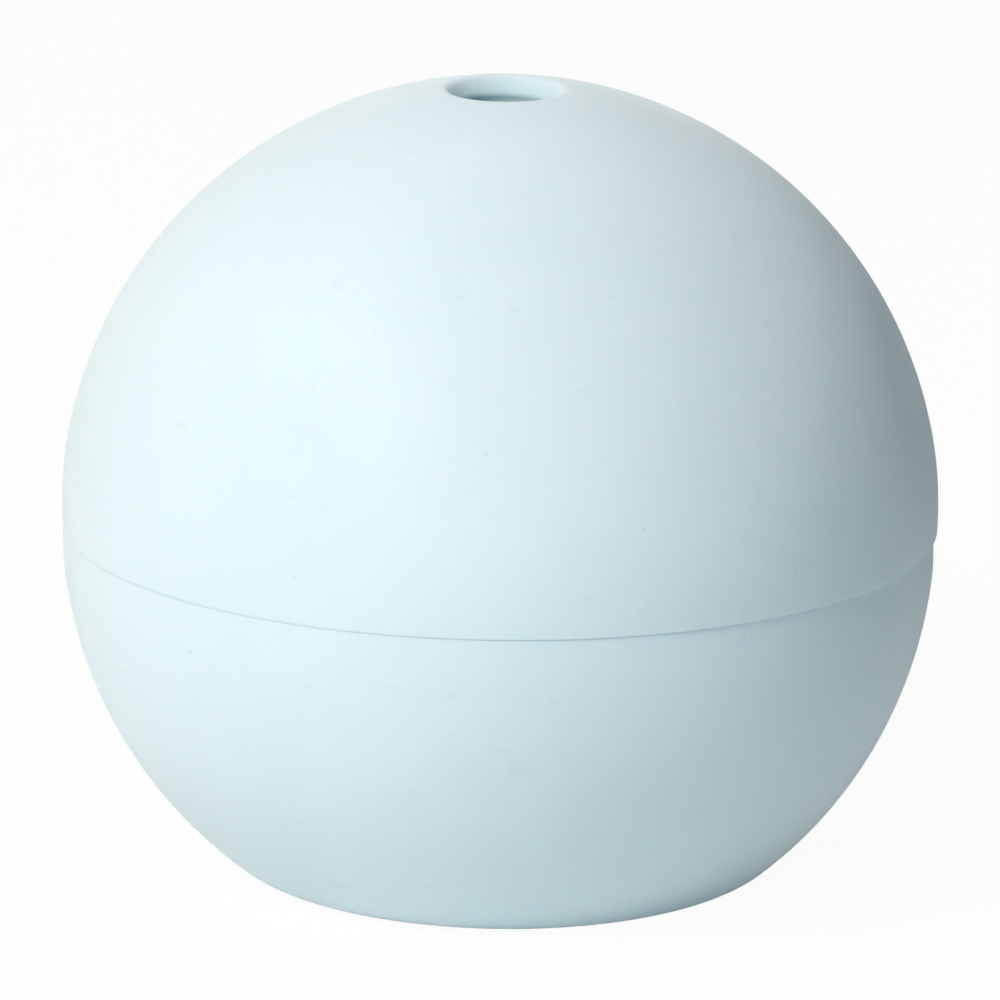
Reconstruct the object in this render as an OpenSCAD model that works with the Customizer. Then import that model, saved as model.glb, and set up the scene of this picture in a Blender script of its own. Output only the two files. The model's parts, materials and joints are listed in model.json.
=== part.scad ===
// Ice ball mold of soft silicone, made of two halves that part at the ball's middle.
// The lower half stands on a flat base, and the upper half lifts off and has the fill hole.
// The frame's origin is the middle of the base, with +Z up. All sizes are in millimetres.

/* [Ice ball] */
// Diameter of the ball of ice that the closed mold casts
ball_d = 55; // [48:0.5:64]

/* [Body] */
// Wall round the ball at the parting plane
wall_t = 10.5; // [8.5:0.25:14]
// Floor between the ball and the base
floor_t = 2.6; // [2:0.1:5]
// Radius of the rounded edge round the flat base
base_edge_r = 4.5; // [1:0.25:7]

/* [Parting line] */
// Step by which the lower half's outline stays inside the upper half's
seam_step = 0.2; // [0.05:0.05:0.6]
// Height of the dome's widest circle above the parting plane
dome_rise = 0.6; // [0.2:0.1:1.2]
// Radius of the rounded edge round the upper half's rim, which overhangs the lower half
upper_edge_r = 0.2; // [0.1:0.05:0.8]
// Radius of the rounded edge round the lower half's rim
lower_edge_r = 0.3; // [0.1:0.05:0.8]

/* [Seal] */
// Width of the tongue at its root
tongue_w = 3.4; // [2.4:0.1:4.4]
// Height of the tongue above the lower half's rim
tongue_h = 3.8; // [2.6:0.1:5]
// Slope of the tongue's two flanks, in degrees from upright
tongue_draft = 5; // [1:0.5:10]
// Rise of the tongue's domed crest over its two shoulders
crest_rise = 0.8; // [0.3:0.05:1]
// Gap between the tongue and its groove, square to their faces
seal_gap = 0.15; // [0.05:0.05:0.3]
// Chamfer along both sides of the groove's mouth
groove_chamfer = 0.5; // [0.2:0.1:1]

/* [Fill hole] */
// Diameter of the fill hole's straight bore
bore_d = 7.6; // [5:0.1:9]
// Diameter of the funnel mouth where its slope meets the dome
mouth_d = 10.2; // [9:0.1:16]
// Depth of the funnel mouth
mouth_depth = 2; // [0.8:0.1:4]
// Radius of the rounded edge round the funnel mouth
mouth_edge_r = 0.6; // [0.2:0.05:1]
// Chamfer where the bore opens into the ball
bore_chamfer = 0.5; // [0.2:0.1:1]

/* [Hidden] */

$fn = 128;
silicone_colour = "#cfe5ea";

// An edge's rounding circle is set in from both faces by this share of its radius, so that they cut it cleanly
edge_inset = 0.998;

ball_r = ball_d / 2;
upper_r = ball_r + wall_t;
lower_r = upper_r - seam_step;
// Height of the parting plane, which cuts the ball at its middle
parting_z = floor_t + ball_r;

// Circle along the middle of the wall, where the tongue and its groove run
seal_r = ball_r + wall_t / 2;
// Depth to which the sections of the tongue and the groove go on below the rim
seal_root = 1;

bore_r = bore_d / 2;
mouth_r = mouth_d / 2;
// Way up the funnel mouth's slope, from the bore to the dome
mouth_slope = [mouth_r - bore_r, mouth_depth];

// The sections are drawn with the ball's centre at the origin: x runs out from the axis, and y runs up.

// Section of the solid dome: a quarter of a disc and the low band under it, cut off flat at the rim
module dome_section() {
    intersection() {
        translate([0, dome_rise]) circle(upper_r);
        square(2 * upper_r);
    }
}

// Section of the solid cup: a quarter of a disc, cut off flat at the base
module cup_section() {
    intersection() {
        circle(lower_r);
        translate([0, -parting_z]) square([2 * lower_r, parting_z]);
    }
}

// What rounding an edge to radius q takes off the corner between two faces, which look along normals a and b
module edge_waste(center, q, a, b) {
    reach = 2 * q;
    difference() {
        polygon([center, center + reach * a, center + reach * (a + b), center + reach * b]);
        translate(center) circle(q);
    }
}

// What rounding takes off the edge round the flat base
module base_edge_waste() {
    inset = edge_inset * base_edge_r;
    center_y = inset - parting_z;
    center = [sqrt(pow(lower_r - inset, 2) - pow(center_y, 2)), center_y];
    edge_waste(center, base_edge_r, [0, -1], center / norm(center));
}

// What rounding takes off the edge round the upper half's rim
module upper_edge_waste() {
    inset = edge_inset * upper_edge_r;
    center_y = inset - dome_rise;
    center = [sqrt(pow(upper_r - inset, 2) - pow(center_y, 2)), center_y];
    translate([0, dome_rise]) edge_waste(center, upper_edge_r, [0, -1], center / norm(center));
}

// What rounding takes off the edge round the lower half's rim
module lower_edge_waste() {
    inset = edge_inset * lower_edge_r;
    center = [sqrt(pow(lower_r - inset, 2) - pow(inset, 2)), -inset];
    edge_waste(center, lower_edge_r, [0, 1], center / norm(center));
}

// What rounding takes off the edge between the funnel mouth's slope and the dome
module mouth_edge_waste() {
    inset = edge_inset * mouth_edge_r;
    along = mouth_slope / norm(mouth_slope);
    into_hole = [-along.y, along.x];
    // The rounding's centre lies on a line inside the slope, where that line is as deep under the dome
    start = [mouth_r, sqrt(pow(upper_r, 2) - pow(mouth_r, 2))] - inset * into_hole;
    back = start * along - sqrt(pow(start * along, 2) - start * start + pow(upper_r - inset, 2));
    center = start - back * along;
    translate([0, dome_rise]) edge_waste(center, mouth_edge_r, into_hole, center / norm(center));
}

// Section of the tongue, or of its groove when grown by a gap, with the middle of its root at the origin
module tongue_section(grow) {
    shoulder_y = tongue_h - crest_rise;
    shoulder_x = tongue_w / 2 - shoulder_y * tan(tongue_draft);
    crest_r = (pow(shoulder_x, 2) + pow(crest_rise, 2)) / (2 * crest_rise);
    crest_y = tongue_h - crest_r;
    flanks_y = max(crest_y, shoulder_y - crest_rise);
    top_y = tongue_h + grow + seal_root;
    side_x = tongue_w / 2 + grow / cos(tongue_draft);
    root_x = side_x + seal_root * tan(tongue_draft);
    top_x = side_x - top_y * tan(tongue_draft);
    intersection() {
        polygon([[-root_x, -seal_root], [root_x, -seal_root], [top_x, top_y], [-top_x, top_y]]);
        union() {
            translate([0, crest_y]) circle(crest_r + grow);
            translate([-2 * root_x, -seal_root]) square([4 * root_x, seal_root + flanks_y]);
        }
    }
}

// Section of the groove, with its chamfered mouth
module groove_section() {
    mouth_x = tongue_w / 2 + seal_gap / cos(tongue_draft) + groove_chamfer;
    outer_x = mouth_x + seal_root;
    inner_y = 2 * groove_chamfer;
    inner_x = mouth_x - inner_y;
    tongue_section(seal_gap);
    polygon([[-outer_x, -seal_root], [outer_x, -seal_root], [inner_x, inner_y], [-inner_x, inner_y]]);
}

// Section of the fill hole: the chamfer at the ball, the straight bore and the funnel mouth
module fill_section() {
    chamfer_y = sqrt(pow(ball_r, 2) - pow(bore_r, 2)) + bore_chamfer;
    flare = 2 * bore_chamfer;
    mouth_y = dome_rise + sqrt(pow(upper_r, 2) - pow(mouth_r, 2));
    slope_end = [mouth_r, mouth_y] + mouth_slope;
    polygon([
        [0, 0],
        [bore_r + flare, 0],
        [bore_r + flare, chamfer_y - flare],
        [bore_r, chamfer_y],
        [bore_r, mouth_y - mouth_depth],
        slope_end,
        [0, slope_end.y]
    ]);
}

// Section of the lower half: a thick cup with the tongue along its rim
module lower_section() {
    difference() {
        union() {
            cup_section();
            translate([seal_r, 0]) tongue_section(0);
        }
        circle(ball_r);
        base_edge_waste();
        lower_edge_waste();
    }
}

// Section of the upper half: a thick dome with the groove along its rim and the fill hole on its axis
module upper_section() {
    difference() {
        dome_section();
        circle(ball_r);
        translate([seal_r, 0]) groove_section();
        fill_section();
        upper_edge_waste();
        mouth_edge_waste();
    }
}

// Lower half, which stands on its flat base
module lower_half() {
    color(silicone_colour)
        translate([0, 0, parting_z])
            rotate_extrude()
                lower_section();
}

// Upper half, which lifts off along the axis
module upper_half() {
    color(silicone_colour)
        translate([0, 0, parting_z])
            rotate_extrude()
                upper_section();
}

lower_half();
upper_half();
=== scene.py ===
"""Ice ball mold of pale blue silicone: a cup with a flat base, and a lift-off dome with a fill hole."""

import json
import math

import bpy
from mathutils import Matrix, Vector


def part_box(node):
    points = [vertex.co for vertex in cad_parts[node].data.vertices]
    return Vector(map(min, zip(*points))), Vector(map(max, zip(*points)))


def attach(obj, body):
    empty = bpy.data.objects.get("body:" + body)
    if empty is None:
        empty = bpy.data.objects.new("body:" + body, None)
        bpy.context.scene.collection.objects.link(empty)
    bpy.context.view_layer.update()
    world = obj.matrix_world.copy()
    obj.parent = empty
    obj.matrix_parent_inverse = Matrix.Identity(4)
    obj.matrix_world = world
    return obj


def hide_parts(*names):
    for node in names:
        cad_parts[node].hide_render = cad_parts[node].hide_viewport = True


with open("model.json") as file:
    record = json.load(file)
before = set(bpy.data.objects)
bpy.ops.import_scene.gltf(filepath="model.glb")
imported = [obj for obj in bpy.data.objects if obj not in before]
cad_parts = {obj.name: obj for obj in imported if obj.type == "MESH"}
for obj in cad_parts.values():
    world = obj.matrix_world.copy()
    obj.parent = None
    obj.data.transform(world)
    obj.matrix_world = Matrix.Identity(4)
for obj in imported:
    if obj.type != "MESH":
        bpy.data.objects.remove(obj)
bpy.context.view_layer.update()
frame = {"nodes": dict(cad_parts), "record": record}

MM = 0.001

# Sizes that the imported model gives
lower_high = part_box("lower_half")[1]
upper_low, upper_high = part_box("upper_half")
PARTING_Z = upper_low.z
LOWER_R = lower_high.x
UPPER_R = upper_high.x
TONGUE_H = lower_high.z - PARTING_Z
BALL_CENTER = Vector((0, 0, PARTING_Z))
BALL_R = min((v.co - BALL_CENTER).length for v in frame["nodes"]["upper_half"].data.vertices)
BORE_R = next(m["dims"]["r_mm"] for m in frame["record"]["mounts"] if m["name"] == "fill_hole") * MM

# Parting line: the dome is widest a little above it, both rims draw in towards it, and the upper overhangs
DOME_RISE = 0.6 * MM
UPPER_PULL_H = 7 * MM
UPPER_PULL = 0.15 * MM
UPPER_EDGE = 0.06 * MM
LOWER_PULL_H = 4 * MM
LOWER_PULL = 0.22 * MM
LOWER_EDGE = 0.04 * MM
RIM_EDGE = 0.25 * MM
# Power of the curve by which the rims draw in
PULL_CURVE = 1.5
# How far the parting line stands open at its right end
OPENING = 0.025 * MM

# Seal: the tongue on the lower half, and the groove in the upper half
SEAL_R = (BALL_R + UPPER_R) / 2
TONGUE_W = 3.4 * MM
TONGUE_DRAFT = math.radians(5)
CREST_RISE = 0.8 * MM
SEAL_GAP = 0.15 * MM
SHOULDER_EDGE = 0.35 * MM
TONGUE_FOOT = 0.3 * MM
GROOVE_EDGE = 0.5 * MM

# How far the soft lower half leans to the right at its base, and how far off the axis the outside of the
# upper half and the outer rim of the lower half sit
LEAN = 0.6 * MM
UPPER_SLIP = Vector((0.1, 0, 0)) * MM
LOWER_SLIP = Vector((-0.08, -0.2, 0)) * MM

# Base and fill hole
BASE_EDGE = 1.6 * MM
MOUTH_R = 5.1 * MM
MOUTH_DEPTH = 1.4 * MM
MOUTH_EDGE = 0.5 * MM
FUNNEL_EDGE = 0.4 * MM
UNDERCUT = 0.5 * MM
UNDERCUT_H = 0.7 * MM
BORE_EDGE = 0.5 * MM

# Steps round the axis, and along the stretches of a section
TURN_STEPS = 224
DOME_STEPS = 72
CAVITY_STEPS = 44
BASE_STEPS = 12
CREST_STEPS = 12
FLANK_STEPS = 6
SEAT_STEPS = 6
BORE_STEPS = 6
MOUTH_STEPS = 4
CORNER_STEPS = 6
# A point of a section that is closer to the axis than this lies on it
ON_AXIS = 0.001 * MM


def arc(center, radius, start, end, steps):
    """Points along a circle in the section, from one angle to another."""
    angles = [start + (end - start) * i / steps for i in range(steps + 1)]
    return [center + radius * Vector((math.cos(a), math.sin(a))) for a in angles]


def line(start, end, steps):
    """Points along a straight stretch of the section."""
    return [Vector(start).lerp(Vector(end), i / steps) for i in range(steps + 1)]


def trimmed(run, length):
    """A run of points that ends sooner by a length."""
    run = list(run)
    while True:
        last_step = (run[-1] - run[-2]).length
        if last_step > length:
            run[-1] = run[-1].lerp(run[-2], length / last_step)
            return run
        length -= last_step
        run.pop()


def rounded(first, second, cut_first, cut_second):
    """Two runs that meet in a corner, as one run whose corner is a soft curve between the two cuts."""
    corner = second[0]
    first = trimmed(first, cut_first)
    second = trimmed(second[::-1], cut_second)[::-1]
    shares = [i / CORNER_STEPS for i in range(1, CORNER_STEPS)]
    curve = [first[-1].lerp(corner, t).lerp(corner.lerp(second[0], t), t) for t in shares]
    return first + curve + second


def drawn_in(run, depth, height):
    """A run of points that draws in towards the parting plane, from a height over or under it."""
    shares = [max(0, 1 - abs(point.y) / height) ** PULL_CURVE for point in run]
    return [point - Vector((depth * share, 0)) for point, share in zip(run, shares)]


def outline(first, *rest):
    """One section from runs of points. Each further run comes with the two cuts that round its corner."""
    section = first
    for cut_first, cut_second, run in rest:
        section = rounded(section, run, cut_first, cut_second)
    return section


def tongue_runs(grow, outward):
    """The tongue's two flanks and its domed crest as three runs, or the groove's when grown by a gap."""
    shoulder_y = TONGUE_H - CREST_RISE
    shoulder_x = TONGUE_W / 2 - shoulder_y * math.tan(TONGUE_DRAFT)
    crest_r = (shoulder_x**2 + CREST_RISE**2) / (2 * CREST_RISE) + grow
    crest_center = Vector((SEAL_R, TONGUE_H + grow - crest_r))
    half_top = shoulder_x + grow / math.cos(TONGUE_DRAFT)
    half_root = TONGUE_W / 2 + grow / math.cos(TONGUE_DRAFT)
    spread = math.asin(half_top / crest_r)
    crest = arc(crest_center, crest_r, math.pi / 2 - spread, math.pi / 2 + spread, CREST_STEPS)
    outer_flank = line((SEAL_R + half_root, 0), crest[0], FLANK_STEPS)
    inner_flank = line(crest[-1], (SEAL_R - half_root, 0), FLANK_STEPS)
    runs = [outer_flank, crest, inner_flank]
    return runs if outward else [run[::-1] for run in runs[::-1]]


def lower_section():
    """Section of the cup from the middle of its base, round the outside and the rim, into the ball."""
    dome = arc(Vector((0, 0)), LOWER_R, -math.asin(PARTING_Z / LOWER_R), 0, DOME_STEPS)
    dome = drawn_in(dome, LOWER_PULL, LOWER_PULL_H)
    base = line((0, -PARTING_Z), dome[0], BASE_STEPS)
    outer_flank, crest, inner_flank = tongue_runs(0, True)
    outer_seat = line(dome[-1], outer_flank[0], SEAT_STEPS)
    inner_seat = line(inner_flank[-1], (BALL_R, 0), SEAT_STEPS)
    cavity = arc(Vector((0, 0)), BALL_R, 0, -math.pi / 2, CAVITY_STEPS)
    return outline(
        base,
        (BASE_EDGE, BASE_EDGE, dome),
        (LOWER_EDGE, LOWER_EDGE, outer_seat),
        (TONGUE_FOOT, TONGUE_FOOT, outer_flank),
        (SHOULDER_EDGE, SHOULDER_EDGE, crest),
        (SHOULDER_EDGE, SHOULDER_EDGE, inner_flank),
        (TONGUE_FOOT, TONGUE_FOOT, inner_seat),
        (RIM_EDGE, RIM_EDGE, cavity),
    )


def upper_section():
    """Section of the dome as a closed loop: down the bore, along the ball, round the rim, over the top."""
    dome_center = Vector((0, DOME_RISE))
    mouth_angle = math.acos(MOUTH_R / UPPER_R)
    dome = arc(dome_center, UPPER_R, -math.asin(DOME_RISE / UPPER_R), mouth_angle, DOME_STEPS)
    dome = drawn_in(dome, UPPER_PULL, UPPER_PULL_H)
    mouth_low = Vector((BORE_R, dome[-1].y - MOUTH_DEPTH))
    undercut = mouth_low + Vector((UNDERCUT, -UNDERCUT_H))
    bore_low = Vector((BORE_R, math.sqrt(BALL_R**2 - BORE_R**2)))
    bore_middle = (bore_low + mouth_low) / 2
    cavity = arc(Vector((0, 0)), BALL_R, math.acos(BORE_R / BALL_R), 0, CAVITY_STEPS)
    inner_flank, crest, outer_flank = tongue_runs(SEAL_GAP, False)
    inner_seat = line((BALL_R, 0), inner_flank[0], SEAT_STEPS)
    outer_seat = line(outer_flank[-1], dome[0], SEAT_STEPS)
    loop = outline(
        line(bore_middle, bore_low, BORE_STEPS),
        (BORE_EDGE, BORE_EDGE, cavity),
        (RIM_EDGE, RIM_EDGE, inner_seat),
        (GROOVE_EDGE, GROOVE_EDGE, inner_flank),
        (SHOULDER_EDGE, SHOULDER_EDGE, crest),
        (SHOULDER_EDGE, SHOULDER_EDGE, outer_flank),
        (GROOVE_EDGE, GROOVE_EDGE, outer_seat),
        (UPPER_EDGE, UPPER_EDGE, dome),
        (MOUTH_EDGE, MOUTH_EDGE, line(dome[-1], mouth_low, MOUTH_STEPS)),
        (FUNNEL_EDGE, FUNNEL_EDGE, line(mouth_low, undercut, MOUTH_STEPS)),
        (FUNNEL_EDGE, FUNNEL_EDGE, line(undercut, bore_middle, BORE_STEPS)),
    )
    return loop[:-1]


def wall_share(point):
    """How far out in the wall a point of the section lies, from 0 at the ball to 1 at the outside."""
    return min(1, max(0, point.length - BALL_R) / (UPPER_R - BALL_R))


def lower_shift(point):
    """How far off the axis the ring through a point of the lower half's section lies."""
    lean = LEAN * (min(point.y, 0) / PARTING_Z) ** 2
    near_rim = max(0, 1 - abs(point.y) / LOWER_PULL_H)
    return Vector((lean, 0, 0)) + LOWER_SLIP * (wall_share(point) * near_rim) ** 2


def upper_shift(point):
    """How far off the axis the ring through a point of the upper half's section lies."""
    return UPPER_SLIP * wall_share(point) ** 2


def turned(name, section, closed, shift):
    """A mesh object turned from a section about the axis. An open section starts and ends on the axis."""
    vertices, rings = [], []
    for point in section:
        ring_start = len(vertices)
        middle = shift(point) + Vector((0, 0, PARTING_Z + point.y))
        if point.x < ON_AXIS:
            vertices.append(middle)
            rings.append([ring_start] * TURN_STEPS)
            continue
        for j in range(TURN_STEPS):
            angle = 2 * math.pi * j / TURN_STEPS
            vertices.append(middle + point.x * Vector((math.cos(angle), math.sin(angle), 0)))
        rings.append(list(range(ring_start, ring_start + TURN_STEPS)))
    faces = []
    for low, high in zip(rings, rings[1:] + rings[:1] if closed else rings[1:]):
        for j in range(TURN_STEPS):
            k = (j + 1) % TURN_STEPS
            corners = dict.fromkeys((low[j], low[k], high[k], high[j]))
            faces.append(tuple(corners))
    mesh = bpy.data.meshes.new(name)
    mesh.from_pydata(vertices, [], faces)
    mesh.validate()
    mesh.shade_smooth()
    piece = bpy.data.objects.new(name, mesh)
    bpy.context.scene.collection.objects.link(piece)
    return piece


def opened(piece):
    """Tilts the upper half about the left end of the parting line, which opens the right end by a hair."""
    left_end = Matrix.Translation((-UPPER_R, 0, PARTING_Z))
    tilt = Matrix.Rotation(-OPENING / (2 * UPPER_R), 4, "Y")
    piece.data.transform(left_end @ tilt @ left_end.inverted())


class Nodes:
    """A node tree, with short calls that add a node and give its output."""

    def __init__(self, owner):
        owner.use_nodes = True
        self.tree = owner.node_tree
        self.tree.nodes.clear()

    def add(self, kind, inputs, **settings):
        """A new node. An input that is another node's output is linked, and any other value is set."""
        node = self.tree.nodes.new(kind)
        for key, value in settings.items():
            setattr(node, key, value)
        for key, value in inputs.items():
            if isinstance(value, bpy.types.NodeSocket):
                self.tree.links.new(value, node.inputs[key])
            else:
                node.inputs[key].default_value = value
        return node

    def noise(self, vector, scale, detail, output="Fac"):
        """Soft noise that lies about 0.5."""
        inputs = {"Vector": vector, "Scale": scale, "Detail": detail}
        return self.add("ShaderNodeTexNoise", inputs).outputs[output]

    def ranged(self, value, source, target=(0, 1)):
        """A value carried from one range to another, with soft ends."""
        keys = ("Value", "From Min", "From Max", "To Min", "To Max")
        inputs = dict(zip(keys, (value, *source, *target)))
        return self.add("ShaderNodeMapRange", inputs, interpolation_type="SMOOTHSTEP").outputs["Result"]

    def math(self, operation, a, b):
        """One operation on two numbers."""
        return self.add("ShaderNodeMath", {0: a, 1: b}, operation=operation).outputs[0]

    def vector(self, operation, a, b=(0, 0, 0), output="Vector"):
        """One operation on two vectors, or on one."""
        return self.add("ShaderNodeVectorMath", {0: a, 1: b}, operation=operation).outputs[output]

    def mixed(self, share, a, b):
        """Two colours mixed by the second one's share."""
        # Inputs 6 and 7 of this node are its two colours, and output 2 is the mixed one
        return self.add("ShaderNodeMix", {0: share, 6: a, 7: b}, data_type="RGBA").outputs[2]

    def bump(self, height, strength, distance, under=None):
        """A surface normal shaken by a height, and by the bump under it where there is one."""
        inputs = {"Height": height, "Strength": strength, "Distance": distance}
        if under:
            inputs["Normal"] = under
        return self.add("ShaderNodeBump", inputs).outputs["Normal"]


# Silicone's colours
SILICONE_PALE = (0.654, 0.808, 0.858, 1)
SILICONE_DEEP = (0.638, 0.795, 0.846, 1)
# Painted shade: a darker, deeper blue laid into the fill hole in place of the shade inside it
SILICONE_HOLE_SHADE = (0.54, 0.75, 0.79, 1)
SILICONE_DUST = (0.4, 0.48, 0.5, 1)

# Marks on the silicone: each one's noise per metre, the range of the noise in which it comes up, and
# the most that it covers
CLOUD_SCALE = 60
CLOUD_RANGE = (0.35, 0.65)
SMUDGE_SCALE = 230
SMUDGE_RANGE = (0.64, 0.8)
SMUDGE_COVER = 0.12
# How much lower than wide a smudge is
SMUDGE_FLATNESS = 2.5
DUST_SCALE = 240
DUST_SIZE_RANGE = (0.025, 0.055)
DUST_LOT_RANGE = (0.3, 0.9)
DUST_COVER = 0.35
# How far the edges of the dust are shaken, and the scale of that
DUST_SHAKE = 0.4 * MM
DUST_SHAKE_SCALE = 2600
# Height over the ball in which the painted shade in the fill hole fades out
HOLE_SHADE_FADE_H = 2 * MM

# Gloss of the ball and of the outside, and the depth in the wall where one turns into the other
BALL_ROUGHNESS = 0.36
OUTSIDE_ROUGHNESS = 0.6
GLOSS_DEPTH_RANGE = (0.2 * MM, 0.8 * MM)
WORN_SCALE = 150
WORN_RANGE = (0.3, 0.7)
WORN_CHANGE = 0.05

# Fine skin, and slow waves in the surface under it
SKIN_SCALE = 1500
SKIN_STRENGTH = 0.12
SKIN_HEIGHT = 0.08 * MM
WAVE_SCALE = 110
WAVE_STRENGTH = 0.3
WAVE_HEIGHT = 0.4 * MM


def hole_shade_share(nodes, place):
    """Share of painted shade in the fill hole: 1 in the bore, fading to 0 at the edge of the mouth and at
    the top of the ball.
    """
    level = nodes.vector("MULTIPLY", place, (1, 1, 0))
    from_axis = nodes.vector("LENGTH", level, output="Value")
    height = nodes.add("ShaderNodeSeparateXYZ", {"Vector": place}).outputs["Z"]
    ball_top = PARTING_Z + BALL_R
    over_ball = nodes.ranged(height, (ball_top, ball_top + HOLE_SHADE_FADE_H))
    return nodes.math("MULTIPLY", nodes.ranged(from_axis, (BORE_R, MOUTH_R), (1, 0)), over_ball)


def smudge_share(nodes, place):
    """How much of the colour the faint, flat smudges cover."""
    flattened = nodes.vector("MULTIPLY", place, (1, 1, SMUDGE_FLATNESS))
    return nodes.ranged(nodes.noise(flattened, SMUDGE_SCALE, detail=3), SMUDGE_RANGE, (0, SMUDGE_COVER))


def dust_share(nodes, place):
    """How much of the colour the few ragged specks of dust cover."""
    ragged = nodes.noise(place, DUST_SHAKE_SCALE, detail=2, output="Color")
    shake = nodes.vector("MULTIPLY", ragged, (DUST_SHAKE,) * 3)
    shaken = nodes.vector("ADD", place, shake)
    grains = nodes.add("ShaderNodeTexVoronoi", {"Vector": shaken, "Scale": DUST_SCALE}).outputs
    speck = nodes.ranged(grains["Distance"], DUST_SIZE_RANGE, (1, 0))
    lot = nodes.add("ShaderNodeSeparateColor", {"Color": grains["Color"]}).outputs["Red"]
    return nodes.math("MULTIPLY", speck, nodes.ranged(lot, DUST_LOT_RANGE, (0, DUST_COVER)))


def silicone_colour(nodes, place):
    """Pale blue with faint clouds, painted shade in the fill hole, with smudges and dust."""
    clouds = nodes.ranged(nodes.noise(place, CLOUD_SCALE, detail=4), CLOUD_RANGE)
    colour = nodes.mixed(clouds, SILICONE_PALE, SILICONE_DEEP)
    # Painted shade: the fill hole is darkened towards the bore to stand in for the shade in the recess
    colour = nodes.mixed(hole_shade_share(nodes, place), colour, SILICONE_HOLE_SHADE)
    colour = nodes.mixed(smudge_share(nodes, place), colour, SILICONE_DUST)
    return nodes.mixed(dust_share(nodes, place), colour, SILICONE_DUST)


def silicone_roughness(nodes, place):
    """Matte on the outside and smoother in the ball, with a little wear."""
    from_center = nodes.vector("DISTANCE", place, BALL_CENTER, output="Value")
    outside_ball = nodes.ranged(from_center, [BALL_R + depth for depth in GLOSS_DEPTH_RANGE])
    roughness = nodes.ranged(outside_ball, (0, 1), (BALL_ROUGHNESS, OUTSIDE_ROUGHNESS))
    worn = nodes.ranged(nodes.noise(place, WORN_SCALE, detail=3), WORN_RANGE, (-WORN_CHANGE, WORN_CHANGE))
    return nodes.math("ADD", roughness, worn)


def silicone_normal(nodes, place):
    """A fine skin on slow waves."""
    skin = nodes.bump(nodes.noise(place, SKIN_SCALE, detail=2), SKIN_STRENGTH, SKIN_HEIGHT)
    return nodes.bump(nodes.noise(place, WAVE_SCALE, detail=2), WAVE_STRENGTH, WAVE_HEIGHT, skin)


def silicone():
    """Matte moulded silicone that light enters a little way."""
    material = bpy.data.materials.new("silicone_skin")
    nodes = Nodes(material)
    place = nodes.add("ShaderNodeTexCoord", {}).outputs["Object"]
    shader = nodes.add(
        "ShaderNodeBsdfPrincipled",
        {
            "Base Color": silicone_colour(nodes, place),
            "Roughness": silicone_roughness(nodes, place),
            "Normal": silicone_normal(nodes, place),
            "Diffuse Roughness": 0.7,
            "IOR": 1.41,
            "Subsurface Weight": 0.5,
            "Subsurface Radius": (1.6, 0.9, 0.8),
            "Subsurface Scale": 0.5 * MM,
            "Sheen Weight": 0.06,
            "Sheen Roughness": 0.5,
        },
    )
    nodes.add("ShaderNodeOutputMaterial", {"Surface": shader.outputs[0]})
    return material


def shown_white(nodes):
    """1 for rays from the camera and for rays that gloss and clear things send out, which meet white."""
    path = nodes.add("ShaderNodeLightPath", {}).outputs
    seen = nodes.math("MAXIMUM", path["Is Camera Ray"], path["Is Glossy Ray"])
    return nodes.math("MAXIMUM", seen, path["Is Transmission Ray"])


FLOOR_SIZE = 6.0
FLOOR_WHITE_SHARE = 0.95
# How far the floor lies under the base, so that the two faces don't share one plane
FLOOR_DROP = 0.02 * MM
FLOOR_COLOUR = (0.865, 0.9, 0.89, 1)


def add_floor():
    """A plain white floor that keeps a light shadow under the mold."""
    mesh = bpy.data.meshes.new("floor")
    half = FLOOR_SIZE / 2
    corners = [(-half, -half), (half, -half), (half, half), (-half, half)]
    mesh.from_pydata([(x, y, -FLOOR_DROP) for x, y in corners], [], [(0, 1, 2, 3)])
    floor = bpy.data.objects.new("floor", mesh)
    bpy.context.scene.collection.objects.link(floor)
    material = bpy.data.materials.new("floor_white")
    nodes = Nodes(material)
    paint = nodes.add("ShaderNodeBsdfDiffuse", {"Color": FLOOR_COLOUR})
    glow = nodes.add("ShaderNodeEmission", {"Strength": 1.0})
    share = nodes.math("MULTIPLY", shown_white(nodes), FLOOR_WHITE_SHARE)
    mix = nodes.add("ShaderNodeMixShader", {0: share, 1: paint.outputs[0], 2: glow.outputs[0]})
    nodes.add("ShaderNodeOutputMaterial", {"Surface": mix.outputs[0]})
    mesh.materials.append(material)


WORLD_COLOUR = (0.93, 1.0, 1.02, 1)
WORLD_LEVEL = 0.01


def add_world():
    """Faint even light from all round, which the camera sees as white."""
    world = bpy.data.worlds.new("studio")
    bpy.context.scene.world = world
    nodes = Nodes(world)
    room = nodes.add("ShaderNodeBackground", {"Color": WORLD_COLOUR, "Strength": WORLD_LEVEL})
    backdrop = nodes.add("ShaderNodeBackground", {"Color": (1, 1, 1, 1), "Strength": 1.0})
    white = shown_white(nodes)
    mix = nodes.add("ShaderNodeMixShader", {0: white, 1: room.outputs[0], 2: backdrop.outputs[0]})
    nodes.add("ShaderNodeOutputWorld", {"Surface": mix.outputs[0]})


LAMP_DISTANCE = 1.0
LAMP_SIZE = 0.4
WARM = (1.0, 0.855, 0.803)
COOL = (0.767, 0.935, 1.0)
NEUTRAL = (1.0, 1.0, 1.0)
LAMPS = {
    # name: (degrees left of the front, degrees up, watts, colour)
    "key": (50, 45, 5.08, WARM),
    "second": (35, 40, 4.75, WARM),
    "front": (0, 10, 2.37, COOL),
    "back": (180, 60, 2.0, COOL),
    "rear": (180, 5, 0.8, NEUTRAL),
}


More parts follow.
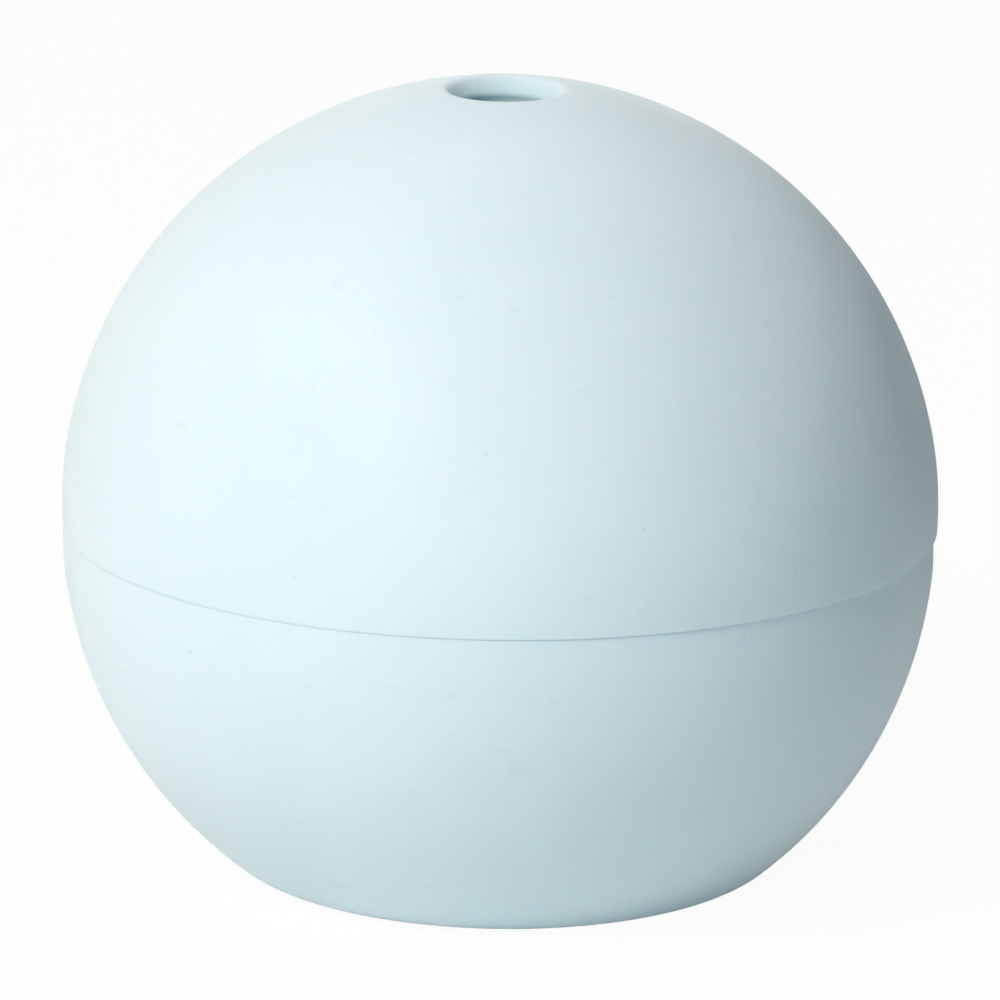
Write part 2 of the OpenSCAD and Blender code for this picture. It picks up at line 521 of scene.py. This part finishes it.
def add_lamp(name, left, up, watts, colour):
    """A soft square lamp that faces the ball."""
    data = bpy.data.lights.new(name, "AREA")
    data.size = LAMP_SIZE
    data.energy = watts
    data.color = colour
    lamp = bpy.data.objects.new(name, data)
    left, up = math.radians(left), math.radians(up)
    toward = Vector((-math.sin(left) * math.cos(up), -math.cos(left) * math.cos(up), math.sin(up)))
    lamp.location = BALL_CENTER + LAMP_DISTANCE * toward
    lamp.rotation_euler = toward.to_track_quat("Z", "Y").to_euler()
    lamp.visible_camera = False
    bpy.context.scene.collection.objects.link(lamp)


CAMERA_DISTANCE = 0.76
CAMERA_UP = math.radians(15.17)
CAMERA_ROLL = math.radians(0.645)
CAMERA_LENS_MM = 315.9
CAMERA_CLIP_START = 0.01
# How far the middle of the picture lies over the ball's centre, and to its right
CAMERA_AIM_RISE = 1.687 * MM
CAMERA_AIM_RIGHT = 0.08 * MM


def add_camera():
    """The camera in front of the mold, a little above it, as in the photograph."""
    data = bpy.data.cameras.new("camera")
    data.lens = CAMERA_LENS_MM
    data.clip_start = CAMERA_CLIP_START
    camera = bpy.data.objects.new("camera", data)
    toward = Vector((0, -math.cos(CAMERA_UP), math.sin(CAMERA_UP)))
    rise = Vector((0, math.sin(CAMERA_UP), math.cos(CAMERA_UP)))
    aim = BALL_CENTER + CAMERA_AIM_RISE * rise + CAMERA_AIM_RIGHT * Vector((1, 0, 0))
    place = aim + CAMERA_DISTANCE * toward
    turn = toward.to_track_quat("Z", "Y").to_matrix().to_4x4() @ Matrix.Rotation(CAMERA_ROLL, 4, "Z")
    camera.matrix_world = Matrix.Translation(place) @ turn
    bpy.context.scene.collection.objects.link(camera)
    bpy.context.scene.camera = camera


skin = silicone()
pieces = {
    "lower_half": turned("lower_half_skin", lower_section(), False, lower_shift),
    "upper_half": turned("upper_half_skin", upper_section(), True, upper_shift),
}
opened(pieces["upper_half"])
# Each body holds one node and has its name
for node, piece in pieces.items():
    piece.data.materials.append(skin)
    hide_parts(node)
    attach(piece, node)

add_floor()
add_world()
for name, settings in LAMPS.items():
    add_lamp(name, *settings)
add_camera()
bpy.context.scene.view_settings.view_transform = "Standard"
